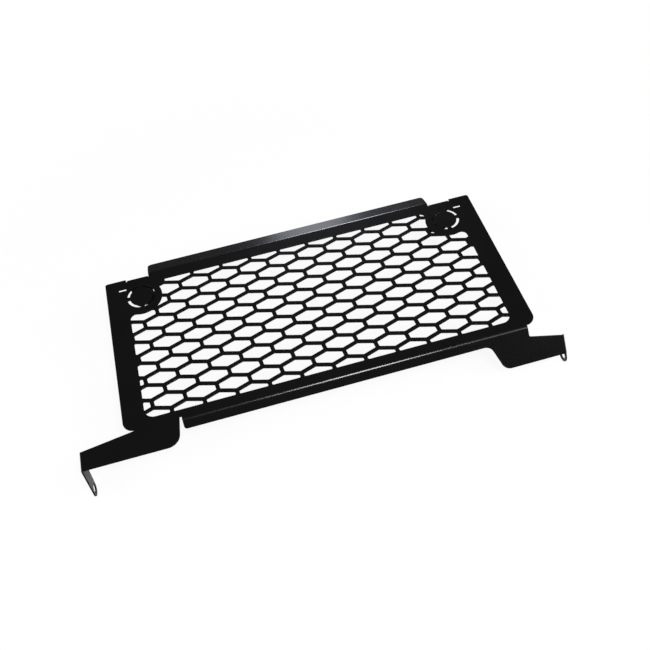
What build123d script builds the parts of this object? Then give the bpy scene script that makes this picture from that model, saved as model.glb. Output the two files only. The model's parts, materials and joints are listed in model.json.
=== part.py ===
from build123d import *
import os
from math import cos, sin, radians, hypot, sqrt, ceil

# Radiator guard: one laser-cut sheet, folded, with a honeycomb window. Millimetres.
# X runs along the guard, Y up the panel, Z out of its front face.

# Sheet, inside radii of its bends, and cuts beside a bend
sheet_t = 1.0
flange_bend_in = 2.5
tab_bend_in = 0.5
relief_w = 0.9
relief_past = 0.3
tab_gap = 0.6

# Panel, measured from its bottom bend line to the top of its ears
panel_w = 289.6
panel_h = 132.6
panel_foot_r = 7.5
ear_r = 1.8

# Honeycomb window
border_side = 15.2
border_foot = 6.4
border_top = 9.0
window_r = 7.0

# Honeycomb lattice: step along a row, drop and shift from one row to the next
cell_step = 22.5
row_drop = 9.79
row_shift = 12.34
cell_wall = 6.2
cell_lean = 0.33
web_w = 2.9
lattice_x = -4.2
lattice_y = 55.7
least_cell = 5.0

# Round bosses in the two top corners, with a broken ring slot and a dash slot
boss_r = 16.0
boss_in = 25.0
boss_down = 20.4
boss_blend_r = 4.0
ring_r = 9.5
ring_w = 1.95
ring_in = 25.35
ring_down = 19.6
ring_bridge_deg = 19.0
dash_l = 5.6
dash_w = 1.8
dash_in = 12.4
dash_down = 9.7

# Top flange, leaning back
top_flange_w = 223.4
top_rise = 1.0
top_flange_l = 11.8
top_flange_deg = 20.0
top_flange_r = 3.0

# Bottom flange, leaning back; it carries the right arm
foot_flange_l = 5.5
foot_flange_deg = 50.0
foot_flange_r = 2.0
foot_flange_in = 38.9

# Back tabs
tab_depth = 32.0
ear_tab_w = 15.9
ear_tab_drop = 0.5
ear_tab_r = 2.0

# Left arm, in the panel's plane
left_reach = 174.8
left_foot = 19.8
left_slope = 5.8
left_heel_x = 109.9
left_heel_lean = 2.6
left_heel_r = 9.0
left_tab_y = -19.1

# Right arm, in the bottom flange's plane
right_reach = 162.3
right_foot = 24.8
right_shoulder = 5.9
right_slope = 5.4
right_heel_x = 116.5
right_heel_lean = 7.8
right_heel_r = 7.0
right_inner_r = 1.5
right_tab_y = -14.8

# Screw ends of the two arms
screw_end_r = 5.3
screw_hole_d = 6.4

half_w = panel_w / 2
flange_bend = flange_bend_in + sheet_t
tab_bend = tab_bend_in + sheet_t
top_line = panel_h + top_rise
top_half = top_flange_w / 2
tab_face = panel_h - ear_tab_drop
tab_line = tab_face - tab_bend
foot_left = half_w - foot_flange_in
foot_right = half_w - panel_foot_r
screw_depth = tab_depth - screw_end_r
same_point = 1e-6


def rounded(corners):
    """Closed face through (x, y, r) corners, each rounded to its own radius."""
    ends = []
    edges = []
    n = len(corners)
    for k in range(n):
        x, y, r = corners[k]
        px, py, pr = corners[k - 1]
        qx, qy, qr = corners[(k + 1) % n]
        lp = hypot(px - x, py - y)
        lq = hypot(qx - x, qy - y)
        ux, uy = (px - x) / lp, (py - y) / lp
        vx, vy = (qx - x) / lq, (qy - y) / lq
        if r == 0:
            ends.append(((x, y), (x, y)))
            continue
        c = ux * vx + uy * vy
        half_tan = sqrt((1 - c) / (1 + c))
        cut = r / half_tan
        a = (x + ux * cut, y + uy * cut)
        b = (x + vx * cut, y + vy * cut)
        wx, wy = ux + vx, uy + vy
        wl = hypot(wx, wy)
        far = hypot(r, cut) - r
        m = (x + wx / wl * far, y + wy / wl * far)
        edges.append(ThreePointArc(a, m, b))
        ends.append((a, b))
    for k in range(n):
        a = ends[k][1]
        b = ends[(k + 1) % n][0]
        if hypot(a[0] - b[0], a[1] - b[1]) > same_point:
            edges.append(Line(a, b))
    return make_face(edges)


def ring_piece(center, r_in, r_out, start, size):
    """Sector of a flat ring."""
    outer = CenterArc(center, r_out, start, size)
    inner = CenterArc(center, r_in, start, size)
    return make_face([outer, Line(outer @ 1, inner @ 1), inner, Line(inner @ 0, outer @ 0)])


def cell_corners():
    """Corners of one opening about its own centre: the six-sided cell drawn in by half a web."""
    up_x = cell_step - row_shift
    right_hi = (cell_step / 2 - cell_lean, cell_wall / 2)
    right_lo = (cell_step / 2 + cell_lean, -cell_wall / 2)
    top = (up_x - right_hi[0], row_drop - right_hi[1])
    ring = [top, right_hi, right_lo]
    ring += [(-x, -y) for x, y in ring]
    lines = []
    for k in range(6):
        (ax, ay), (bx, by) = ring[k], ring[(k + 1) % 6]
        length = hypot(bx - ax, by - ay)
        nx, ny = (by - ay) / length, (ax - bx) / length
        lines.append((nx, ny, nx * ax + ny * ay + web_w / 2))
    corners = []
    for k in range(6):
        a1, b1, c1 = lines[k - 1]
        a2, b2, c2 = lines[k]
        det = a1 * b2 - a2 * b1
        corners.append(((c1 * b2 - c2 * b1) / det, (a1 * c2 - a2 * c1) / det))
    return corners


# Window outline: a rectangle with rounded lower corners, cut back around the two bosses
win_x = half_w - border_side
win_lo = border_foot
win_hi = top_line - border_top
boss_x = half_w - boss_in
boss_y = panel_h - boss_down
blend_far = boss_r + boss_blend_r
side_blend = (win_x - boss_blend_r, boss_y - sqrt(blend_far ** 2 - (boss_x - win_x + boss_blend_r) ** 2))
head_blend = (boss_x - sqrt(blend_far ** 2 - (win_hi - boss_blend_r - boss_y) ** 2), win_hi - boss_blend_r)
ring_x = half_w - ring_in
ring_y = panel_h - ring_down
cos_45 = sqrt(0.5)


def blend_points(center, out_x, out_y):
    """Three points of a blend arc: from the straight edge, (out_x, out_y) of its centre, to the boss."""
    cx, cy = center
    tx = (boss_x - cx) / blend_far
    ty = (boss_y - cy) / blend_far
    length = hypot(tx + out_x, ty + out_y)
    r = boss_blend_r
    mid = (cx + (tx + out_x) / length * r, cy + (ty + out_y) / length * r)
    return (cx + out_x * r, cy + out_y * r), mid, (cx + tx * r, cy + ty * r)


def window_side(side):
    """Edges of the window along one side, from its foot corner to its top edge."""
    foot = (win_x - window_r, win_lo)
    foot_mid = (win_x - window_r * (1 - cos_45), win_lo + window_r * (1 - cos_45))
    heel = (win_x, win_lo + window_r)
    low = blend_points(side_blend, 1, 0)
    high = blend_points(head_blend, 0, 1)
    boss_mid = (boss_x - boss_r, boss_y)
    points = [foot, foot_mid, heel, *low, boss_mid, *high]
    foot, foot_mid, heel, low_a, low_m, low_b, boss_mid, high_a, high_m, high_b = [
        (side * x, y) for x, y in points
    ]
    return [
        ThreePointArc(foot, foot_mid, heel),
        Line(heel, low_a),
        ThreePointArc(low_a, low_m, low_b),
        ThreePointArc(low_b, boss_mid, high_b),
        ThreePointArc(high_b, high_m, high_a),
    ]


right_edges = window_side(1)
left_edges = window_side(-1)
head_edge = Line((-head_blend[0], win_hi), (head_blend[0], win_hi))
foot_edge = Line((-(win_x - window_r), win_lo), (win_x - window_r, win_lo))
window = make_face(right_edges + left_edges + [head_edge, foot_edge])


def clear_of_edge(x, y):
    """True for a point of the window that no rounded corner or boss comes near."""
    if abs(x) > win_x or y > win_hi or y < win_lo:
        return False
    if abs(x) > head_blend[0] - boss_blend_r and y > side_blend[1]:
        return False
    return not (abs(x) > win_x - window_r and y < win_lo + window_r)


# Honeycomb openings: whole cells, and the cells the window's edge cuts
corners = cell_corners()
openings = []
rows_up = ceil((win_hi - lattice_y) / row_drop)
rows_down = ceil((lattice_y - win_lo) / row_drop)
for row in range(-rows_up, rows_down + 1):
    cy = lattice_y - row * row_drop
    first = lattice_x + row * row_shift
    for step in range(ceil((-win_x - first) / cell_step) - 1, ceil((win_x - first) / cell_step) + 1):
        cx = first + step * cell_step
        ring = [(cx + x, cy + y) for x, y in corners]
        if all(clear_of_edge(x, y) for x, y in ring):
            openings.append(make_face(Polyline(*ring, close=True)))
            continue
        if all(abs(x) > win_x for x, y in ring) or all(y > win_hi for x, y in ring):
            continue
        if all(y < win_lo for x, y in ring):
            continue
        cut = make_face(Polyline(*ring, close=True)) & window
        if cut is None:
            continue
        openings += [f for f in cut.faces() if f.area > least_cell]

# Broken ring and dash slots of both bosses
for side in (-1, 1):
    for quarter in range(4):
        start = quarter * 90 + ring_bridge_deg / 2
        sweep = 90 - ring_bridge_deg
        slot = ring_piece((side * ring_x, ring_y), ring_r - ring_w / 2, ring_r + ring_w / 2, start, sweep)
        openings.append(slot)
    dash_at = Pos(side * (half_w - dash_in), panel_h - dash_down)
    openings.append(dash_at * Rectangle(dash_l, dash_w))

# Panel with the left arm, as one flat outline
tab_in = top_half + tab_gap
tab_out = tab_in + ear_tab_w
relief_y = tab_line - relief_past
left_fold = left_reach - tab_bend
left_top = -left_slope * (left_fold - foot_right) / (left_reach - foot_right)
heel_top = left_heel_x - left_heel_lean
slot_right = foot_left
slot_top = relief_w
outline = rounded([
    (half_w, 0, panel_foot_r),
    (half_w, panel_h, ear_r),
    (tab_out + relief_w, panel_h, 0),
    (tab_out + relief_w, relief_y, 0),
    (tab_out, relief_y, 0),
    (tab_out, tab_line, 0),
    (tab_in, tab_line, 0),
    (tab_in, relief_y, 0),
    (top_half, relief_y, 0),
    (top_half, top_line, 0),
    (-top_half, top_line, 0),
    (-top_half, relief_y, 0),
    (-tab_in, relief_y, 0),
    (-tab_in, tab_line, 0),
    (-tab_out, tab_line, 0),
    (-tab_out, relief_y, 0),
    (-tab_out - relief_w, relief_y, 0),
    (-tab_out - relief_w, panel_h, 0),
    (-half_w, panel_h, ear_r),
    (-half_w, 0, panel_foot_r),
    (-foot_right, 0, 0),
    (-left_fold, left_top, 0),
    (-left_fold, -left_foot, 0),
    (-left_heel_x, -left_foot, left_heel_r),
    (-heel_top, slot_top, 0),
    (-slot_right, slot_top, 0),
    (-slot_right, 0, 0),
    (foot_right, 0, 0),
])
panel_face = Face(outline.face().outer_wire(), [f.face().outer_wire() for f in openings])
panel = extrude(panel_face, amount=-sheet_t, dir=(0, 0, 1))

pieces = []


def along(y):
    """Plane of X and Z at the height y up the panel, looking down it."""
    return Plane(origin=(0, y, 0), x_dir=(1, 0, 0), z_dir=(0, -1, 0))


def across_bend(line_y, r_in, degrees, x_from, x_to):
    """Bend along X that starts at line_y: a positive angle folds the foot back, a negative one the head."""
    piece = ring_piece((line_y, -r_in - sheet_t), r_in, r_in + sheet_t, 90, degrees)
    return extrude(Plane.YZ.offset(x_from) * piece, amount=x_to - x_from, dir=(1, 0, 0))


def screw_end(root_a, root_b, center):
    """Flat tab from its bend's end line to a round end with a screw hole, drawn in (y, z)."""
    disc = Pos(*center) * Circle(screw_end_r)
    body = make_hull([Line(root_a, root_b)] + disc.edges())
    return body - Pos(*center) * Circle(screw_hole_d / 2)


# Top flange
lean = radians(top_flange_deg)
pieces.append(across_bend(top_line, flange_bend_in, -top_flange_deg, -top_half, top_half))
top_plane = Plane(
    origin=(0, top_line + flange_bend * sin(lean), flange_bend * (cos(lean) - 1)),
    x_dir=(1, 0, 0),
    z_dir=(0, sin(lean), cos(lean)),
)
top_face = rounded([
    (-top_half, 0, 0),
    (top_half, 0, 0),
    (top_half, top_flange_l, top_flange_r),
    (-top_half, top_flange_l, top_flange_r),
])
pieces.append(extrude(top_plane * top_face, amount=-sheet_t, dir=top_plane.z_dir))

# Back tabs of the two ears
for side in (-1, 1):
    x_lo = min(side * tab_in, side * tab_out)
    x_hi = max(side * tab_in, side * tab_out)
    pieces.append(across_bend(tab_line, tab_bend_in, -90, x_lo, x_hi))
    tab = rounded([
        (x_lo, -tab_bend, 0),
        (x_hi, -tab_bend, 0),
        (x_hi, -tab_depth, ear_tab_r),
        (x_lo, -tab_depth, ear_tab_r),
    ])
    pieces.append(extrude(along(tab_face) * tab, amount=sheet_t, dir=(0, -1, 0)))

# Left arm's end, folded back from the panel's plane
left_piece = ring_piece((-left_fold, -tab_bend), tab_bend_in, tab_bend, 90, 90)
pieces.append(extrude(along(left_top) * left_piece, amount=left_top + left_foot, dir=(0, -1, 0)))
left_end = screw_end((left_top, -tab_bend), (-left_foot, -tab_bend), (left_tab_y, -screw_depth))
pieces.append(extrude(Plane.YZ.offset(-left_reach) * left_end, amount=sheet_t, dir=(1, 0, 0)))

# Bottom flange with the right arm, as one flat outline in the leaning plane
fold = radians(foot_flange_deg)
down = (-cos(fold), -sin(fold))
back = (sin(fold), -cos(fold))
foot_y = -flange_bend * sin(fold)
foot_z = flange_bend * (cos(fold) - 1)
pieces.append(across_bend(0, flange_bend_in, foot_flange_deg, -foot_left, foot_right))
foot_plane = Plane(origin=(0, foot_y, foot_z), x_dir=(1, 0, 0), z_dir=(0, -sin(fold), cos(fold)))
right_fold = right_reach - tab_bend
right_top = right_shoulder + right_slope * (right_fold - foot_right) / (right_reach - foot_right)
foot_face = rounded([
    (-foot_left, 0, 0),
    (foot_right, 0, 0),
    (foot_right, -right_shoulder, right_inner_r),
    (right_fold, -right_top, 0),
    (right_fold, -right_foot, 0),
    (right_heel_x, -right_foot, right_heel_r),
    (right_heel_x - right_heel_lean, -foot_flange_l, right_heel_r),
    (-foot_left, -foot_flange_l, foot_flange_r),
])
pieces.append(extrude(foot_plane * foot_face, amount=-sheet_t, dir=foot_plane.z_dir))


def leaning(s, e):
    """Point (y, z) at s down the leaning plane and e behind its front face."""
    return (foot_y + s * down[0] + e * back[0], foot_z + s * down[1] + e * back[1])


# Right arm's end, folded back from the leaning plane
fold_at = leaning(right_top, 0)
end_plane = Plane(
    origin=(0, fold_at[0], fold_at[1]),
    x_dir=(1, 0, 0),
    z_dir=(0, down[0], down[1]),
)
right_piece = ring_piece((right_fold, -tab_bend), tab_bend_in, tab_bend, 90, -90)
pieces.append(extrude(end_plane * right_piece, amount=right_foot - right_top, dir=end_plane.z_dir))
root_hi = leaning(right_top, tab_bend)
root_lo = leaning(right_foot, tab_bend)
right_end = screw_end(root_hi, root_lo, (right_tab_y, -screw_depth))
pieces.append(extrude(Plane.YZ.offset(right_reach) * right_end, amount=-sheet_t, dir=(1, 0, 0)))

# One sheet, lying on the ends of its four tabs, centred over the origin
guard = panel + pieces
box = guard.bounding_box()
guard = Pos(-(box.min.X + box.max.X) / 2, -(box.min.Y + box.max.Y) / 2, tab_depth) * guard
guard.label = "radiator_guard"

os.makedirs("parts", exist_ok=True)
export_step(guard, "parts/radiator_guard.step")
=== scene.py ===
"""Motorcycle radiator guard: a laser-cut sheet, folded and powder-coated, on a white studio floor."""

import json
from math import acos, atan2, ceil, cos, pi, radians, sin, sqrt, tan, tau
from typing import NamedTuple

import bpy
from bpy.props import FloatProperty, FloatVectorProperty, PointerProperty
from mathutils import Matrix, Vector
from mathutils.geometry import delaunay_2d_cdt


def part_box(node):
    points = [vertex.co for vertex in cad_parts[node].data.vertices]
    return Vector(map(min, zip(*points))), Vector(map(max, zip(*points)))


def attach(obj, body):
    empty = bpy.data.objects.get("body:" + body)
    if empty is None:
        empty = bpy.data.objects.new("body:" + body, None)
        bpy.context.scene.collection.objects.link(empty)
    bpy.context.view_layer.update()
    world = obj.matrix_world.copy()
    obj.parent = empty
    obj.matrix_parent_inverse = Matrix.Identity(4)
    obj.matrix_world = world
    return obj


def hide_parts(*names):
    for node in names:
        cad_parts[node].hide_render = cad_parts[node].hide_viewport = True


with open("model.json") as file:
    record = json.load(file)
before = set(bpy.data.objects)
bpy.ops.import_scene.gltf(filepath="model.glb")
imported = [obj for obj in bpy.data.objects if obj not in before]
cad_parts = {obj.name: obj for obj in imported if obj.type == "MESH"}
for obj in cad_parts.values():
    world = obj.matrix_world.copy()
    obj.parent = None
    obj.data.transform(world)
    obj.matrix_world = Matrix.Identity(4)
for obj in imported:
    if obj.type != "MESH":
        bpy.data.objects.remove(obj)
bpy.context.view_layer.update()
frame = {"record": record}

bl_info = {
    "name": "Radiator Guard",
    "version": (1, 0, 0),
    "blender": (4, 5, 0),
    "location": "View3D > Sidebar > Guard",
    "description": "Cuts, folds and coats a radiator guard and sets it on a studio floor",
    "category": "Object",
}

MM = 0.001
NODE = "radiator_guard"
SCREW_HOLE = frame["record"]["mounts"][0]["dims"]["r_mm"] * 2

# Fineness: sag of a chord, widest step on an arc, what counts as one point, steps of edges and bends
SAG = 0.008 * MM
WIDEST_STEP = radians(15)
SAME_POINT = 1e-7
EDGE_STEPS = 3
BEND_STEP = radians(6)

# A corner turns by more than this, and its rounding takes up at most this share of its shorter edge
SHARP_TURN = radians(20)
ROOM = 0.45

# Bridges across a ring slot
BRIDGES = 4

# Octaves of the coat's noises, and the value that noise wanders about
MOTTLE_DETAIL = 3
PEEL_DETAIL = 1
GRAIN_DETAIL = 2
NOISE_MIDDLE = 0.5

# Sockets of a Mix node that take and give colours
COLOUR_A = 6
COLOUR_B = 7
COLOUR_RESULT = 2

WHITE = (1, 1, 1)


def length(name, description, millimetres):
    """A length that a user can set, given in millimetres and kept in metres."""
    metres = millimetres * MM
    return FloatProperty(name=name, description=description, default=metres, unit="LENGTH", precision=5)


def angle(name, description, degrees):
    """An angle that a user can set, given in degrees."""
    return FloatProperty(name=name, description=description, default=radians(degrees), subtype="ANGLE")


def share(name, description, value):
    """A plain number that a user can set."""
    return FloatProperty(name=name, description=description, default=value, precision=4)


def colour(name, description, value):
    """A colour that a user can set."""
    return FloatVectorProperty(
        name=name, description=description, default=value, subtype="COLOR", min=0, max=1
    )


def place(name, description, metres):
    """A point that a user can set, in metres."""
    return FloatVectorProperty(name=name, description=description, default=metres, subtype="TRANSLATION")


def extent(name, description, metres):
    """A width and a height that a user can set, in metres."""
    return FloatVectorProperty(name=name, description=description, default=metres, size=2, unit="LENGTH")


class GuardPanelSizes(bpy.types.PropertyGroup):
    """Sheet, panel, honeycomb window and corner bosses."""

    sheet: length("Sheet", "Thickness of the sheet", 1.0)
    flange_bend_in: length("Flange bend", "Inside radius of the bends of the two flanges", 2.5)
    tab_bend_in: length("Tab bend", "Inside radius of the bends of the tabs and screw ends", 0.5)
    edge_r: length("Edge rounding", "Radius that the coat gives a cut edge", 0.2)
    nick_r: length("Nick rounding", "Radius in the corners of relief cuts and slots", 0.25)
    kerf: length("Kerf", "Width of the slit beside the left arm at its end", 0.3)
    relief_w: length("Relief width", "Width of the relief cuts beside a bend", 0.9)
    relief_past: length("Relief run", "How far a relief cut runs past its bend line", 0.3)
    tab_gap: length("Tab gap", "Width of the slit between a back tab and the top flange", 0.6)
    width: length("Panel width", "Width of the panel", 289.6)
    height: length("Panel height", "Height of the panel from its foot bend to its ears", 132.6)
    foot_r: length("Foot corner", "Radius of the panel's lower corners", 7.5)
    ear_r: length("Ear corner", "Radius of the panel's upper corners", 1.8)
    border_side: length("Side border", "Width of the border at the sides", 15.2)
    border_foot: length("Foot border", "Width of the border above the foot bend", 6.4)
    border_top: length("Top border", "Width of the border below the top bend", 9.0)
    window_r: length("Window corner", "Radius of the window's lower corners", 7.0)
    cell_step: length("Cell step", "Step from cell to cell along a row", 22.5)
    row_drop: length("Row drop", "Drop from one row of cells to the next", 9.79)
    row_shift: length("Row shift", "Shift along the row from one row to the next", 12.34)
    cell_wall: length("Cell wall", "Height of a cell's short sides", 6.2)
    cell_lean: length("Cell lean", "Lean of a cell's short sides", 0.33)
    cell_r: length("Cell corner", "Radius in the corners of a cell", 0.8)
    web_w: length("Web", "Width of the webs between cells", 2.9)
    lattice_x: length("Lattice X", "Middle of one cell, from the panel's middle", -4.2)
    lattice_y: length("Lattice Y", "Middle of one cell, from the foot bend", 55.7)
    least_cell: FloatProperty(
        name="Least opening",
        description="A cut cell smaller than this is left closed",
        default=5.0 * MM * MM,
        unit="AREA",
        precision=6,
    )
    boss_r: length("Boss", "Radius of the bosses in the upper corners", 16.0)
    boss_in: length("Boss inset", "Boss from the panel's side", 25.0)
    boss_down: length("Boss drop", "Boss from the top of the ear", 20.4)
    boss_blend_r: length("Boss blend", "Radius where a boss runs into the window's edge", 4.0)
    ring_r: length("Ring slot", "Radius of the ring slot's middle line", 9.5)
    ring_w: length("Ring slot width", "Width of the ring slot", 1.95)
    ring_in: length("Ring inset", "Ring slot from the panel's side", 25.35)
    ring_down: length("Ring drop", "Ring slot from the top of the ear", 19.6)
    ring_bridge: angle("Ring bridge", "Angle of each of the four bridges across the ring slot", 19.0)
    dash_l: length("Dash slot", "Length of the dash slot", 5.6)
    dash_w: length("Dash slot width", "Width of the dash slot", 1.8)
    dash_in: length("Dash inset", "Dash slot from the panel's side", 12.4)
    dash_down: length("Dash drop", "Dash slot from the top of the ear", 9.7)


class GuardFoldSizes(bpy.types.PropertyGroup):
    """Flanges, back tabs, arms and their screw ends."""

    top_w: length("Top flange width", "Width of the top flange", 223.4)
    top_rise: length("Top rise", "Top bend line above the top of the ears", 1.0)
    top_l: length("Top flange", "Length of the top flange past its bend", 11.8)
    top_lean: angle("Top lean", "How far the top flange leans back", 20.0)
    top_r: length("Top corner", "Radius of the top flange's corners", 3.0)
    foot_l: length("Foot flange", "Length of the foot flange past its bend", 5.5)
    foot_lean: angle("Foot lean", "How far the foot flange leans back", 50.0)
    foot_r: length("Foot flange corner", "Radius of the foot flange's left corner", 2.0)
    foot_in: length("Foot inset", "Foot flange's left end from the panel's side", 38.9)
    tab_depth: length("Tab depth", "How far the back tabs and screw ends reach behind the front face", 32.0)
    ear_tab_w: length("Ear tab", "Width of the back tabs", 15.9)
    ear_tab_drop: length("Ear tab drop", "Back tabs below the top of the ears", 0.5)
    ear_tab_r: length("Ear tab corner", "Radius of the back tabs' corners", 2.0)
    left_reach: length("Left reach", "Left arm's end from the panel's middle", 174.8)
    left_foot: length("Left arm foot", "Left arm's lower edge below the foot bend", 19.8)
    left_slope: length("Left arm slope", "Fall of the left arm's upper edge", 5.8)
    left_heel_x: length("Left heel", "Left arm's heel from the panel's middle", 109.9)
    left_heel_lean: length("Left heel lean", "Lean of the left arm's inner edge", 2.6)
    left_heel_r: length("Left heel corner", "Radius of the left arm's heel", 9.0)
    left_tab_y: length("Left screw height", "Left screw hole from the foot bend", -19.1)
    right_reach: length("Right reach", "Right arm's end from the panel's middle", 162.3)
    right_foot: length("Right arm foot", "Right arm's lower edge down the leaning flange", 24.8)
    right_shoulder: length("Right shoulder", "Right arm's upper edge at its root", 5.9)
    right_slope: length("Right arm slope", "Fall of the right arm's upper edge", 5.4)
    right_heel_x: length("Right heel", "Right arm's heel from the panel's middle", 116.5)
    right_heel_lean: length("Right heel lean", "Lean of the right arm's inner edge", 7.8)
    right_heel_r: length("Right heel corner", "Radius of the right arm's heel", 7.0)
    right_inner_r: length("Right root corner", "Radius at the right arm's root", 1.5)
    right_tab_y: length("Right screw height", "Right screw hole from the foot bend", -14.8)
    screw_end_r: length("Screw end", "Radius of the screw ends", 5.3)
    screw_hole_d: length("Screw hole", "Diameter of the screw holes", SCREW_HOLE)


class GuardCoatFinish(bpy.types.PropertyGroup):
    """Satin powder coat."""

    deep: colour("Deep tone", "Darkest tone of the coat", (0.0022, 0.0022, 0.0024))
    pale: colour("Pale tone", "Lightest tone of the coat", (0.0050, 0.0050, 0.0055))
    edge: colour("Edge tone", "Tone of the thin coat on cut edges", (0.0030, 0.0030, 0.0033))
    roughness: share("Roughness", "Middle roughness of the coat", 0.205)
    sheen: share("Sheen", "Strength of the coat's mirrored light; 0.5 is plain lacquer", 0.5)
    mottle: share("Mottle", "How much the roughness wanders over the sheet", 0.07)
    speckle: share("Speckle", "How much the roughness changes from grain to grain", 0.035)
    grain_share: share("Grain share", "Share of the grain in the changes of tone", 0.5)
    edge_rough: share("Edge roughness", "Roughness of the thin coat on cut edges", 0.5)
    edge_sheen: share("Edge sheen", "Strength of the mirrored light on cut edges", 0.05)
    mottle_size: length("Mottle size", "Size of the slow changes in the coat", 26.0)
    peel_size: length("Peel size", "Size of the coat's waves", 1.3)
    grain_size: length("Grain size", "Size of the coat's grains", 0.28)
    peel_height: length("Peel height", "Height of the coat's waves", 0.004)
    grain_height: length("Grain height", "Height of the coat's grains", 0.001)


class GuardStudio(bpy.types.PropertyGroup):
    """Floor, softboxes and camera."""

    floor_size: length("Floor", "Width of the floor", 6000.0)
    floor_tone: share("Floor tone", "How much light the floor gives back beside the guard", 0.5)
    # The floor's tone under the guard is painted shade: it stands in for the guard's shadow where the coat
    # mirrors the floor, and it fades to the floor tone between the two distances below.
    under_guard_painted_shade: share("Under tone", "How much light the floor gives back under the guard", 0.06)
    under_from: length("Under from", "Distance from the middle at which the floor gets paler", 132.0)
    under_to: length("Under to", "Distance from the middle at which the floor has its pale tone", 162.0)
    floor_shade: share("Floor shade", "How much of the guard's shadow is seen on the floor", 0.1)
    fade_from: length("Fade from", "Distance at which the floor starts to fade to white", 210.0)
    fade_to: length("Fade to", "Distance at which the floor is white", 420.0)
    fill: share("Fill", "Even light from all round", 0.03)
    mirror: share("Mirror", "How much of the white ground the coat mirrors", 0.03)
    side_place: place("Side place", "Middle of the right side softbox", (1.0, -0.45, 0.85))
    side_size: extent("Side size", "Width and height of the side softboxes", (1.5, 0.8))
    side_glow: share("Side glow", "Brightness of the side softboxes", 2.75)
    key_place: place("Key place", "Middle of the softbox beside the camera", (0.15, -0.548, 0.928))
    key_size: extent("Key size", "Width and height of the softbox beside the camera", (0.21, 0.26))
    key_glow: share("Key glow", "Brightness of the softbox beside the camera", 31.5)
    rear_place: place("Rear place", "Middle of the strip light behind the guard", (0.136, 1.1, 0.12))
    rear_size: extent("Rear size", "Width and height of the strip light behind the guard", (0.155, 0.18))
    rear_glow: share("Rear glow", "Brightness of the strip light behind the guard", 2.5)
    rear_tint: colour("Rear tint", "Colour of the two lights behind the guard", (0.88, 0.9, 1.0))
    wing_place: place("Wing place", "Middle of the high softbox behind the guard", (0.205, 1.1, 0.53))
    wing_size: extent("Wing size", "Width and height of the high softbox behind the guard", (0.235, 0.28))
    wing_glow: share("Wing glow", "Brightness of the high softbox behind the guard", 19.0)
    camera_place: place("Camera place", "Where the camera stands", (-0.041613, -0.347378, 0.477185))
    camera_turn: FloatVectorProperty(
        name="Camera turn",
        description="How the camera is turned",
        default=(radians(36.6721), radians(4.4999), radians(-14.9849)),
        subtype="EULER",
    )
    camera_lens: FloatProperty(
        name="Lens",
        description="Focal length of the camera in millimetres",
        default=43.584,
        precision=3,
    )


class Corner(NamedTuple):
    """A corner of an outline and the radius it is rounded to."""

    at: Vector
    r: float


class Rim(NamedTuple):
    """A point of a cut edge and the way out of the metal there."""

    at: Vector
    out: Vector


class Bend(NamedTuple):
    """A bend: the way its flap points on the blank, its line along that way, its angle, radius and arc."""

    way: Vector
    line: float
    angle: float
    out_r: float
    arc: float

    @property
    def steps(self):
        """Number of flat strips that the bend is made of."""
        return ceil(self.angle / BEND_STEP)


class Layout:
    """Lines of the blank that several cuts and bends share, from the panel's middle and its foot bend."""

    def __init__(self, panel, folds):
        self.half_w = panel.width / 2
        self.sheet = panel.sheet
        self.flange_r = panel.flange_bend_in + panel.sheet
        self.tab_r = panel.tab_bend_in + panel.sheet
        self.top_line = panel.height + folds.top_rise
        self.top_half = folds.top_w / 2
        self.tab_line = panel.height - folds.ear_tab_drop - self.tab_r
        self.tab_in = self.top_half + panel.tab_gap
        self.tab_out = self.tab_in + folds.ear_tab_w
        self.slit_out = self.tab_out + panel.relief_w
        self.relief_y = self.tab_line - panel.relief_past
        self.foot_left = self.half_w - folds.foot_in
        self.foot_right = self.half_w - panel.foot_r
        self.heel_top = folds.left_heel_x - folds.left_heel_lean
        self.left_fold = folds.left_reach - self.tab_r
        self.right_fold = folds.right_reach - self.tab_r
        self.screw_depth = folds.tab_depth - folds.screw_end_r
        self.top = self.bend((0, 1), self.top_line, folds.top_lean, self.flange_r)
        self.foot = self.bend((0, -1), 0, folds.foot_lean, self.flange_r)
        self.ear = self.bend((0, 1), self.tab_line, pi / 2, self.tab_r)
        self.left = self.bend((-1, 0), self.left_fold, pi / 2, self.tab_r)
        self.right = self.bend((1, 0), self.right_fold, pi / 2, self.tab_r)

    def bend(self, way, line, turn, out_r):
        """A bend whose flat length is that of the sheet's middle."""
        return Bend(Vector((*way, 0)), line, turn, out_r, turn * (out_r - self.sheet / 2))

    def bends_at(self, x, y):
        """Bends that carry a point of the blank, the outermost first."""
        side = abs(x)
        between = (self.top_half + self.tab_in) / 2
        past_slot = (self.foot_left + self.heel_top) / 2
        if y < 0 and x > -past_slot:
            return [self.right, self.foot]
        if x < -self.left_fold:
            return [self.left]
        if side < between:
            return [self.top]
        if side < self.slit_out:
            return [self.ear]
        return []


def left_of(way):
    """The way that lies to the left of another."""
    return Vector((-way.y, way.x))


def turn_between(a, b):
    """Angle from one way to another, positive to the left."""
    return atan2(a.x * b.y - a.y * b.x, a.dot(b))


def corner(x, y, r=0.0):
    """A corner at x and y."""
    return Corner(Vector((x, y)), r)


def arc(centre, r, start, sweep):
    """Rims along an arc, both ends included; metal lies inside an arc that turns left."""
    step = min(WIDEST_STEP, 2 * acos(max(1 - SAG / r, 0)))
    count = ceil(abs(sweep) / step)
    side = 1 if sweep > 0 else -1
    rims = []
    for k in range(count + 1):
        turn = start + sweep * k / count
        ray = Vector((cos(turn), sin(turn)))
        rims.append(Rim(Vector(centre) + ray * r, ray * side))
    return rims


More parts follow.
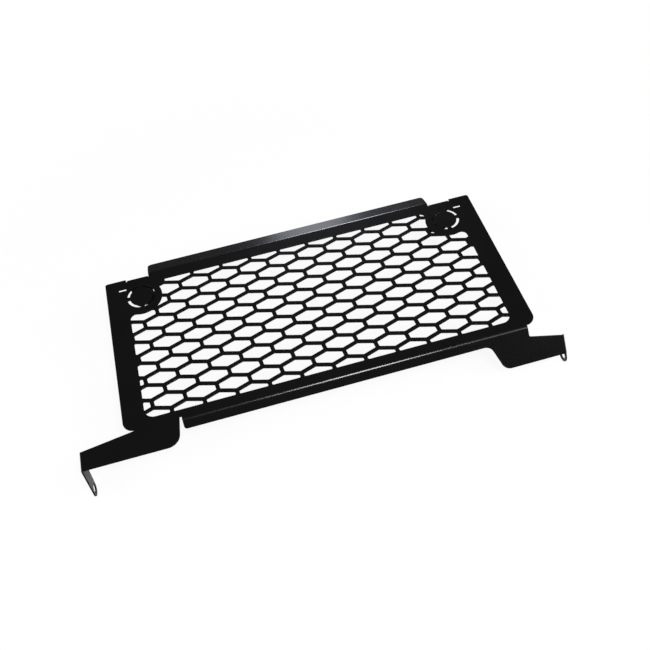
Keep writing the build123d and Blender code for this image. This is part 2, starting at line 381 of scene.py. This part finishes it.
def rounded(items):
    """Closed loop of rims through corners, each rounded to its radius, and through rims as they are."""
    loop = []
    for k, item in enumerate(items):
        if isinstance(item, Rim):
            loop.append(item)
            continue
        way_in = (item.at - items[k - 1].at).normalized()
        way_out = (items[(k + 1) % len(items)].at - item.at).normalized()
        if item.r == 0:
            loop.append(Rim(item.at, -(left_of(way_in) + left_of(way_out)).normalized()))
            continue
        turn = turn_between(way_in, way_out)
        side = 1 if turn > 0 else -1
        first = item.at - way_in * item.r * tan(abs(turn) / 2)
        spoke = left_of(way_in) * side * item.r
        loop += arc(first + spoke, item.r, atan2(-spoke.y, -spoke.x), turn)
    return loop


def softened(points, r):
    """Loop through a ring of points, its sharp corners rounded as far as its edges leave room."""
    items = []
    for k, at in enumerate(points):
        way_in = at - points[k - 1]
        way_out = points[(k + 1) % len(points)] - at
        turn = abs(turn_between(way_in, way_out))
        if turn < SHARP_TURN:
            items.append(Corner(at, 0.0))
            continue
        room = ROOM * min(way_in.length, way_out.length) / tan(turn / 2)
        items.append(Corner(at, min(r, room)))
    return rounded(items)


def opening(loop):
    """The same loop as the edge of a hole, with metal outside it."""
    return [Rim(rim.at, -rim.out) for rim in reversed(loop)]


def area(points):
    """Area inside a ring of points."""
    return sum(points[k - 1].x * p.y - points[k - 1].y * p.x for k, p in enumerate(points)) / 2


def overlap(ring, window):
    """Rings of the parts of one ring that lie inside another."""
    points = ring + window
    owners = [range(len(ring)), range(len(ring), len(points))]
    at, _, tiles, _, _, inside = delaunay_2d_cdt(points, [], owners, 1, SAME_POINT)
    kept = [tile for tile, owner in zip(tiles, inside) if len(owner) == len(owners)]
    edges = dict.fromkeys((tile[k - 1], tile[k]) for tile in kept for k in range(len(tile)))
    # An edge that no tile has the other way round lies on a ring
    ahead = {a: b for a, b in edges if (b, a) not in edges}
    rings = []
    while ahead:
        first, here = ahead.popitem()
        found = [first]
        while here != first:
            found.append(here)
            here = ahead.pop(here)
        rings.append([at[k] for k in found])
    return rings


def cell_ring(panel):
    """Corners of one opening about its own middle: the six-sided cell drawn in by half a web."""
    step_up = panel.cell_step - panel.row_shift
    right_hi = Vector((panel.cell_step / 2 - panel.cell_lean, panel.cell_wall / 2))
    right_lo = Vector((panel.cell_step / 2 + panel.cell_lean, -panel.cell_wall / 2))
    top = Vector((step_up - right_hi.x, panel.row_drop - right_hi.y))
    half = [right_lo, right_hi, top]
    cell = half + [-p for p in half]
    ring = []
    for k, p in enumerate(cell):
        way_in = (p - cell[k - 1]).normalized()
        way_out = (cell[(k + 1) % len(cell)] - p).normalized()
        inward = left_of(way_in) + left_of(way_out)
        ring.append(p + inward * (panel.web_w / inward.length_squared))
    return ring


def window_ring(panel, layout):
    """Edge of the honeycomb window: a rectangle with round lower corners, cut back around the bosses."""
    side_x = layout.half_w - panel.border_side
    low = panel.border_foot
    high = layout.top_line - panel.border_top
    r = panel.boss_blend_r
    boss = Vector((layout.half_w - panel.boss_in, panel.height - panel.boss_down))
    reach = panel.boss_r + r
    side_in = boss.x - (side_x - r)
    head_up = (high - r) - boss.y
    side_blend = Vector((side_x - r, boss.y - sqrt(reach ** 2 - side_in ** 2)))
    head_blend = Vector((boss.x - sqrt(reach ** 2 - head_up ** 2), high - r))
    to_side = boss - side_blend
    to_head = boss - head_blend
    side_turn = atan2(to_side.y, to_side.x)
    head_turn = atan2(to_head.y, to_head.x)
    foot = (side_x - panel.window_r, low + panel.window_r)
    rims = arc(foot, panel.window_r, -pi / 2, pi / 2)
    rims += arc(side_blend, r, 0, side_turn)
    rims += arc(boss, panel.boss_r, side_turn - pi, head_turn - side_turn)[1:-1]
    rims += arc(head_blend, r, head_turn, pi / 2 - head_turn)
    right = [rim.at for rim in rims]
    return right + [Vector((-p.x, p.y)) for p in reversed(right)]


def honeycomb(panel, layout):
    """Openings of the honeycomb: whole cells, and the parts of cells that the window's edge leaves."""
    window = window_ring(panel, layout)
    ring = cell_ring(panel)
    reach = max(p.length for p in ring)
    width = max(p.x for p in window) + reach
    rows_up = ceil((max(p.y for p in window) + reach - panel.lattice_y) / panel.row_drop)
    rows_down = ceil((panel.lattice_y + reach - min(p.y for p in window)) / panel.row_drop)
    loops = []
    for row in range(-rows_up, rows_down + 1):
        first = panel.lattice_x + row * panel.row_shift
        leftmost = ceil((-width - first) / panel.cell_step)
        past_right = ceil((width - first) / panel.cell_step)
        for step in range(leftmost, past_right):
            middle = Vector((first + step * panel.cell_step, panel.lattice_y - row * panel.row_drop))
            for part in overlap([middle + p for p in ring], window):
                if area(part) > panel.least_cell:
                    loops.append(opening(softened(part, panel.cell_r)))
    return loops


def boss_slots(panel, layout):
    """Broken ring slots and dash slots of the two bosses."""
    loops = []
    outer = panel.ring_r + panel.ring_w / 2
    inner = panel.ring_r - panel.ring_w / 2
    half_l = panel.dash_l / 2
    half_w = panel.dash_w / 2
    pitch = tau / BRIDGES
    sweep = pitch - panel.ring_bridge
    for side in (-1, 1):
        middle = Vector((side * (layout.half_w - panel.ring_in), panel.height - panel.ring_down))
        for part in range(BRIDGES):
            start = part * pitch + panel.ring_bridge / 2
            ring = [rim.at for rim in arc(middle, outer, start, sweep)]
            ring += [rim.at for rim in arc(middle, inner, start + sweep, -sweep)]
            loops.append(opening(softened(ring, panel.nick_r)))
        x = side * (layout.half_w - panel.dash_in)
        y = panel.height - panel.dash_down
        dash = [
            corner(x - half_l, y - half_w, panel.nick_r),
            corner(x + half_l, y - half_w, panel.nick_r),
            corner(x + half_l, y + half_w, panel.nick_r),
            corner(x - half_l, y + half_w, panel.nick_r),
        ]
        loops.append(opening(rounded(dash)))
    return loops


def bend_side(bend, x, y):
    """Corners along one side of a bend, from its line outwards."""
    strip = bend.way.xy * (bend.arc / bend.steps)
    return [Corner(Vector((x, y)) + strip * k, 0.0) for k in range(bend.steps + 1)]


def round_end(root_in, centre, r, root_out):
    """Rims round the end of a tab, between the lines that touch it from its two root corners."""
    turns = []
    for root, side in ((root_in, 1), (root_out, -1)):
        spoke = root - centre
        turns.append(atan2(spoke.y, spoke.x) + side * acos(r / spoke.length))
    start, end = turns
    return arc(centre, r, start, (end - start) % tau)


class Blank:
    """Flat blank of the guard: its outline, its openings, and the lines across its bends."""

    def __init__(self, panel, folds):
        self.panel = panel
        self.folds = folds
        self.layout = Layout(panel, folds)
        self.bend_sides = []
        self.outline = rounded(self.upper_outline() + self.left_arm() + self.foot_flange())
        self.loops = [self.outline, *honeycomb(panel, self.layout), *boss_slots(panel, self.layout)]
        for centre in (self.left_screw(), self.right_screw()):
            self.loops.append(opening(arc(centre, folds.screw_hole_d / 2, 0, tau)[:-1]))

    def across(self, bend, start, end):
        """Corners along the two sides of a bend: out along the first, and back along the second."""
        out = bend_side(bend, *start)
        back = bend_side(bend, *end)
        self.bend_sides.append((out, back))
        return out, back[::-1]

    def left_screw(self):
        """Middle of the left screw end on the blank."""
        lay = self.layout
        past = lay.left.arc + lay.screw_depth - lay.tab_r
        return Vector((-lay.left_fold - past, self.folds.left_tab_y))

    def right_screw(self):
        """Middle of the right screw end on the blank, from its place behind the leaning flange."""
        lay = self.layout
        lean = self.folds.foot_lean
        y = self.folds.right_tab_y + lay.flange_r * sin(lean)
        z = lay.flange_r * (1 - cos(lean)) - lay.screw_depth
        down = -y * cos(lean) - z * sin(lean)
        behind = y * sin(lean) - z * cos(lean)
        past = lay.right.arc + behind - lay.tab_r
        return Vector((lay.right_fold + past, -lay.foot.arc - down))

    def head(self, side):
        """Corners of one ear, its back tab and one end of the top flange, from the outside in."""
        p, f, lay = self.panel, self.folds, self.layout
        tab_tip = lay.tab_line + lay.ear.arc + f.tab_depth - lay.tab_r
        top_tip = lay.top_line + lay.top.arc + f.top_l
        tab_start = (side * lay.tab_out, lay.tab_line)
        tab_end = (side * lay.tab_in, lay.tab_line)
        tab_up, tab_down = self.across(lay.ear, tab_start, tab_end)
        return [
            corner(side * lay.half_w, p.height, p.ear_r),
            corner(side * lay.slit_out, p.height, p.nick_r),
            corner(side * lay.slit_out, lay.relief_y, p.nick_r),
            corner(side * lay.tab_out, lay.relief_y, p.nick_r),
            *tab_up,
            corner(side * lay.tab_out, tab_tip, f.ear_tab_r),
            corner(side * lay.tab_in, tab_tip, f.ear_tab_r),
            *tab_down,
            corner(side * lay.tab_in, lay.relief_y, p.nick_r),
            corner(side * lay.top_half, lay.relief_y, p.nick_r),
            *bend_side(lay.top, side * lay.top_half, lay.top_line),
            corner(side * lay.top_half, top_tip, f.top_r),
        ]

    def upper_outline(self):
        """Corners from the panel's lower right corner round its head to its lower left corner."""
        p, lay = self.panel, self.layout
        self.across(lay.top, (lay.top_half, lay.top_line), (-lay.top_half, lay.top_line))
        corners = [corner(lay.half_w, 0, p.foot_r)]
        corners += self.head(1)
        corners += self.head(-1)[::-1]
        return corners + [corner(-lay.half_w, 0, p.foot_r)]

    def left_arm(self):
        """Corners of the left arm and its screw end, from the slit beside it to the relief notch."""
        p, f, lay = self.panel, self.folds, self.layout
        slit_x = -lay.foot_right + p.kerf
        fall = f.left_slope * (lay.left_fold - lay.foot_right) / (f.left_reach - lay.foot_right)
        out, back = self.across(lay.left, (-lay.left_fold, -fall), (-lay.left_fold, -f.left_foot))
        return [
            corner(slit_x, 0, p.kerf / 2),
            corner(slit_x, -p.kerf, p.kerf / 2),
            *out,
            *round_end(out[-1].at, self.left_screw(), f.screw_end_r, back[0].at),
            *back,
            corner(-f.left_heel_x, -f.left_foot, f.left_heel_r),
            corner(-lay.heel_top, p.relief_w, p.nick_r),
            corner(-lay.foot_left, p.relief_w, p.nick_r),
        ]

    def foot_flange(self):
        """Corners of the foot flange, the right arm and its screw end, back to the panel's right corner."""
        f, lay = self.folds, self.layout
        start = lay.foot.arc
        fall = f.right_slope * (lay.right_fold - lay.foot_right) / (f.right_reach - lay.foot_right)
        upper = -start - f.right_shoulder - fall
        lower = -start - f.right_foot
        down, up = self.across(lay.foot, (-lay.foot_left, 0), (lay.foot_right, 0))
        out, back = self.across(lay.right, (lay.right_fold, lower), (lay.right_fold, upper))
        return [
            *down,
            corner(-lay.foot_left, -start - f.foot_l, f.foot_r),
            corner(f.right_heel_x - f.right_heel_lean, -start - f.foot_l, f.right_heel_r),
            corner(f.right_heel_x, lower, f.right_heel_r),
            *out,
            *round_end(out[-1].at, self.right_screw(), f.screw_end_r, back[0].at),
            *back,
            corner(lay.foot_right, -start - f.right_shoulder, f.right_inner_r),
            *up,
        ]

    def creases(self):
        """Pairs of outline points that each strip of a bend runs between."""
        spot = {tuple(rim.at): k for k, rim in enumerate(self.outline)}
        pairs = [pair for sides in self.bend_sides for pair in zip(*sides)]
        return [(spot[tuple(a.at)], spot[tuple(b.at)]) for a, b in pairs]


def folded(bend, at, out):
    """A point of the blank and a direction there, after one bend."""
    past = at.dot(bend.way) - bend.line
    if past <= 0:
        return at, out
    turn = bend.angle * min(past / bend.arc, 1)
    straight = max(past - bend.arc, 0)
    r = bend.out_r + at.z
    moved = at + bend.way * (r * sin(turn) + straight * cos(turn) - past)
    moved.z = r * cos(turn) - straight * sin(turn) - bend.out_r
    lean = out.dot(bend.way)
    turned = out + bend.way * (lean * cos(turn) + out.z * sin(turn) - lean)
    turned.z = out.z * cos(turn) - lean * sin(turn)
    return moved, turned


def edge_section(panel):
    """Steps round a cut edge, front to back: inset, height, and the shares of out and up in its normal."""
    front = []
    for k in range(EDGE_STEPS + 1):
        turn = pi / 2 * k / EDGE_STEPS
        out = sin(turn)
        up = cos(turn)
        front.append((panel.edge_r * (1 - out), panel.edge_r * (up - 1), out, up))
    back = [(inset, -panel.sheet - height, out, -up) for inset, height, out, up in reversed(front)]
    return front + back


def flat_tiles(blank, inset):
    """Triangles of the blank's flat faces, as numbers of its rims."""
    points = [rim.at - rim.out * inset for loop in blank.loops for rim in loop]
    rings = []
    count = 0
    for loop in blank.loops:
        ring = list(range(count, count + len(loop)))
        rings.append(ring if not rings else ring[::-1])
        count += len(loop)
    found = delaunay_2d_cdt(points, blank.creases(), rings, 1, SAME_POINT)
    tiles, origin, owners = found[2], found[3], found[5]
    return [[origin[k][0] for k in tile] for tile, owner in zip(tiles, owners) if owner == [0]]


def sheet_mesh(blank, origin_at):
    """Mesh of the folded sheet, with round edges and true normals, and a mask of its cut edges."""
    section = edge_section(blank.panel)
    per_rim = len(section)
    points = []
    normals = []
    on_edge = []
    for rim in (rim for loop in blank.loops for rim in loop):
        bends = blank.layout.bends_at(*rim.at)
        for inset, height, out, up in section:
            at = (rim.at - rim.out * inset).to_3d()
            at.z = height
            normal = (rim.out * out).to_3d()
            normal.z = up
            for bend in bends:
                at, normal = folded(bend, at, normal)
            points.append(at + origin_at)
            normals.append(normal.normalized())
            on_edge.append(out)
    faces = []
    first = 0
    for loop in blank.loops:
        for k in range(len(loop)):
            here = (first + k) * per_rim
            ahead = (first + (k + 1) % len(loop)) * per_rim
            faces += [(here + n, here + n + 1, ahead + n + 1, ahead + n) for n in range(per_rim - 1)]
        first += len(loop)
    for tile in flat_tiles(blank, section[0][0]):
        faces.append([k * per_rim for k in tile])
        faces.append([k * per_rim + per_rim - 1 for k in reversed(tile)])
    mesh = bpy.data.meshes.new("folded_sheet")
    mesh.from_pydata(points, [], faces, shade_flat=False)
    mask = mesh.attributes.new("cut_edge", "FLOAT", "POINT")
    mask.data.foreach_set("value", on_edge)
    mesh.normals_split_custom_set_from_vertices(normals)
    return mesh


class Wire:
    """An output of a shader node; arithmetic on it adds Math nodes."""

    def __init__(self, bench, socket):
        self.bench = bench
        self.socket = socket

    def __add__(self, other):
        return self.bench.math("ADD", self, other)

    def __radd__(self, other):
        return self.bench.math("ADD", other, self)

    def __sub__(self, other):
        return self.bench.math("SUBTRACT", self, other)

    def __rsub__(self, other):
        return self.bench.math("SUBTRACT", other, self)

    def __mul__(self, other):
        return self.bench.math("MULTIPLY", self, other)

    def __rmul__(self, other):
        return self.bench.math("MULTIPLY", other, self)


class Bench:
    """Node tree of a material or a world."""

    def __init__(self, owner):
        owner.use_nodes = True
        self.tree = owner.node_tree
        self.tree.nodes.clear()

    def node(self, kind, settings, sockets, output=0):
        """Adds a node: its settings first, then the values or links of its sockets. Gives one output."""
        made = self.tree.nodes.new(kind)
        for name, value in settings.items():
            setattr(made, name, value)
        for name, value in sockets.items():
            if isinstance(value, Wire):
                self.tree.links.new(value.socket, made.inputs[name])
            else:
                made.inputs[name].default_value = value
        return Wire(self, made.outputs[output]) if made.outputs else None

    def math(self, operation, a, b):
        """A Math node on two values."""
        return self.node("ShaderNodeMath", {"operation": operation}, {0: a, 1: b})

    def mix_colours(self, factor, a, b):
        """A colour between two others."""
        sockets = {"Factor": factor, COLOUR_A: a, COLOUR_B: b}
        return self.node("ShaderNodeMix", {"data_type": "RGBA"}, sockets, COLOUR_RESULT)

    def mix_shaders(self, factor, a, b):
        """A shader between two others."""
        return self.node("ShaderNodeMixShader", {}, {0: factor, 1: a, 2: b})

    def ramp(self, value, start, end):
        """A smooth rise from 0 to 1 as a value goes from one bound to another."""
        sockets = {"Value": value, "From Min": start, "From Max": end}
        return self.node("ShaderNodeMapRange", {"interpolation_type": "SMOOTHSTEP"}, sockets)

    def rays(self, kind):
        """1 on rays of one kind, and 0 on the others."""
        return self.node("ShaderNodeLightPath", {}, {}, kind)

    def background_rays(self, mirror):
        """1 on rays that show the background, and less on the ones that a surface mirrors."""
        straight = self.rays("Is Camera Ray") + self.rays("Is Transmission Ray")
        return straight + self.rays("Is Glossy Ray") * mirror

    def coat(self, tone, rough, sheen, normal):
        """A layer of powder coat."""
        sockets = {"Base Color": tone, "Roughness": rough, "Specular IOR Level": sheen, "Normal": normal}
        return self.node("ShaderNodeBsdfPrincipled", {}, sockets)

    def matt(self, level):
        """A matt grey that gives back this share of the light."""
        return self.node("ShaderNodeBsdfDiffuse", {}, {"Color": opaque([level] * 3)})

    def noise(self, where, feature, detail):
        """Noise with features of about one size."""
        sockets = {"Vector": where, "Scale": 1 / feature, "Detail": detail}
        return self.node("ShaderNodeTexNoise", {}, sockets, "Fac")


def opaque(tone):
    """A colour with its alpha."""
    return (*tone, 1)


def powder_coat(finish):
    """Satin black powder coat: fine grain on slow waves, a wandering gloss, a thinner film on cut edges."""
    material = bpy.data.materials.new("powder_coat")
    bench = Bench(material)
    where = bench.node("ShaderNodeTexCoord", {}, {}, "Object")
    cut_edge = bench.node("ShaderNodeAttribute", {"attribute_name": "cut_edge"}, {}, "Fac")
    mottle = bench.noise(where, finish.mottle_size, MOTTLE_DETAIL)
    peel = bench.noise(where, finish.peel_size, PEEL_DETAIL)
    grain = bench.noise(where, finish.grain_size, GRAIN_DETAIL)
    paleness = mottle * (1 - finish.grain_share) + grain * finish.grain_share
    tone = bench.mix_colours(paleness, opaque(finish.deep), opaque(finish.pale))
    wander = (mottle - NOISE_MIDDLE) * finish.mottle + (grain - NOISE_MIDDLE) * finish.speckle
    height = peel * finish.peel_height + grain * finish.grain_height
    bump = {"Strength": 1.0, "Distance": 1.0, "Height": height}
    normal = bench.node("ShaderNodeBump", {}, bump, "Normal")
    thick = bench.coat(tone, wander + finish.roughness, finish.sheen, normal)
    thin = bench.coat(opaque(finish.edge), finish.edge_rough, finish.edge_sheen, normal)
    bench.node("ShaderNodeOutputMaterial", {}, {"Surface": bench.mix_shaders(cut_edge, thick, thin)})
    return material


def studio_floor(studio):
    """White floor, faint shadow; the coat mirrors it pale grey, with painted shade under the guard."""
    material = bpy.data.materials.new("studio_floor")
    bench = Bench(material)
    shown = bench.background_rays(studio.mirror)
    where = bench.node("ShaderNodeTexCoord", {}, {}, "Object")
    far = bench.node("ShaderNodeVectorMath", {"operation": "LENGTH"}, {0: where}, "Value")
    fade = bench.ramp(far, studio.fade_from, studio.fade_to)
    # Mask of the painted shade: 0 under the guard, rising to 1 beside it.
    beside = bench.ramp(far, studio.under_from, studio.under_to)
    dark, pale, bright = [bench.matt(level) for level in (studio.under_guard_painted_shade, studio.floor_tone, 1)]
    # Diffuse floor for the coat's reflections and bounce light, with a dark painted shade under the guard.
    lit = bench.mix_shaders(beside, dark, pale)
    white = bench.node("ShaderNodeEmission", {}, {"Color": opaque(WHITE), "Strength": 1.0})
    near = bench.mix_shaders(studio.floor_shade, white, bright)
    seen = bench.mix_shaders(fade, near, white)
    bench.node("ShaderNodeOutputMaterial", {}, {"Surface": bench.mix_shaders(shown, lit, seen)})
    return material


def studio_world(studio):
    """Even fill light, white where the camera looks past the floor."""
    world = bpy.data.worlds.new("studio_world")
    bench = Bench(world)
    strength = bench.background_rays(studio.mirror) * (1 - studio.fill) + studio.fill
    shader = bench.node("ShaderNodeBackground", {}, {"Color": opaque(WHITE), "Strength": strength})
    bench.node("ShaderNodeOutputWorld", {}, {"Surface": shader})
    return world


def softbox(name, at, size, glow, tint=WHITE):
    """A softbox that faces the guard; a glow of 1 is white."""
    width, height = size
    lamp = bpy.data.lights.new(name, "AREA")
    lamp.shape = "RECTANGLE"
    lamp.size = width
    lamp.size_y = height
    lamp.color = tint
    lamp.energy = glow * pi * width * height
    box = bpy.data.objects.new(name, lamp)
    box.location = at
    box.rotation_euler = (-Vector(at)).to_track_quat("-Z", "Y").to_euler()
    bpy.context.scene.collection.objects.link(box)


class GUARD_OT_fold_sheet(bpy.types.Operator):
    """Cut the blank, fold it and coat it"""

    bl_idname = "guard.fold_sheet"
    bl_label = "Fold Sheet"

    def execute(self, context):
        scene = context.scene
        folds = scene.guard_folds
        blank = Blank(scene.guard_panel, folds)
        layout = blank.layout
        low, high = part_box(NODE)
        lean = folds.top_lean
        top_tip = layout.top_line + layout.flange_r * sin(lean) + folds.top_l * cos(lean)
        origin_at = Vector((low.x + folds.left_reach, high.y - top_tip, high.z))
        mesh = sheet_mesh(blank, origin_at)
        if mesh.validate():
            raise RuntimeError("the folded sheet has faulty faces")
        mesh.materials.append(powder_coat(scene.guard_coat))
        sheet = bpy.data.objects.new("folded_sheet", mesh)
        scene.collection.objects.link(sheet)
        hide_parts(NODE)
        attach(sheet, "root")
        return {"FINISHED"}


class GUARD_OT_set_stage(bpy.types.Operator):
    """Lay the floor, hang the softboxes and place the camera"""

    bl_idname = "guard.set_stage"
    bl_label = "Set Stage"

    def execute(self, context):
        scene = context.scene
        studio = scene.guard_studio
        half = studio.floor_size / 2
        mesh = bpy.data.meshes.new("studio_floor")
        corners = [(-half, -half, 0), (half, -half, 0), (half, half, 0), (-half, half, 0)]
        mesh.from_pydata(corners, [], [(0, 1, 2, 3)])
        mesh.materials.append(studio_floor(studio))
        floor = bpy.data.objects.new("studio_floor", mesh)
        scene.collection.objects.link(floor)
        scene.world = studio_world(studio)
        right_place = Vector(studio.side_place)
        left_place = right_place * Vector((-1, 1, 1))
        softbox("right_box", right_place, studio.side_size, studio.side_glow)
        softbox("left_box", left_place, studio.side_size, studio.side_glow)
        softbox("key_box", studio.key_place, studio.key_size, studio.key_glow)
        softbox("rear_strip", studio.rear_place, studio.rear_size, studio.rear_glow, studio.rear_tint)
        softbox("wing_box", studio.wing_place, studio.wing_size, studio.wing_glow, studio.rear_tint)
        lens = bpy.data.cameras.new("camera")
        lens.lens = studio.camera_lens
        camera = bpy.data.objects.new("camera", lens)
        camera.location = studio.camera_place
        camera.rotation_euler = studio.camera_turn
        scene.collection.objects.link(camera)
        scene.camera = camera
        scene.view_settings.view_transform = "Standard"
        return {"FINISHED"}


class GUARD_PT_sidebar(bpy.types.Panel):
    """Sizes, finish and studio of the guard"""

    bl_label = "Radiator Guard"
    bl_idname = "GUARD_PT_sidebar"
    bl_space_type = "VIEW_3D"
    bl_region_type = "UI"
    bl_category = "Guard"

    def draw(self, context):
        column = self.layout.column()
        column.operator(GUARD_OT_fold_sheet.bl_idname)
        column.operator(GUARD_OT_set_stage.bl_idname)
        for name in POINTERS:
            group = getattr(context.scene, name)
            box = self.layout.box()
            box.label(text=group.bl_rna.description)
            for prop in group.__annotations__:
                box.prop(group, prop)


POINTERS = {
    "guard_panel": GuardPanelSizes,
    "guard_folds": GuardFoldSizes,
    "guard_coat": GuardCoatFinish,
    "guard_studio": GuardStudio,
}
CLASSES = (*POINTERS.values(), GUARD_OT_fold_sheet, GUARD_OT_set_stage, GUARD_PT_sidebar)


def register():
    """Adds the classes and the scene's settings."""
    for each in CLASSES:
        bpy.utils.register_class(each)
    for name, group in POINTERS.items():
        setattr(bpy.types.Scene, name, PointerProperty(type=group))


def unregister():
    """Takes the scene's settings and the classes away."""
    for name in POINTERS:
        delattr(bpy.types.Scene, name)
    for each in reversed(CLASSES):
        bpy.utils.unregister_class(each)


def main():
    """Builds the guard and its stage."""
    register()
    bpy.ops.guard.fold_sheet()
    bpy.ops.guard.set_stage()


if __name__ == "__main__":
    main()
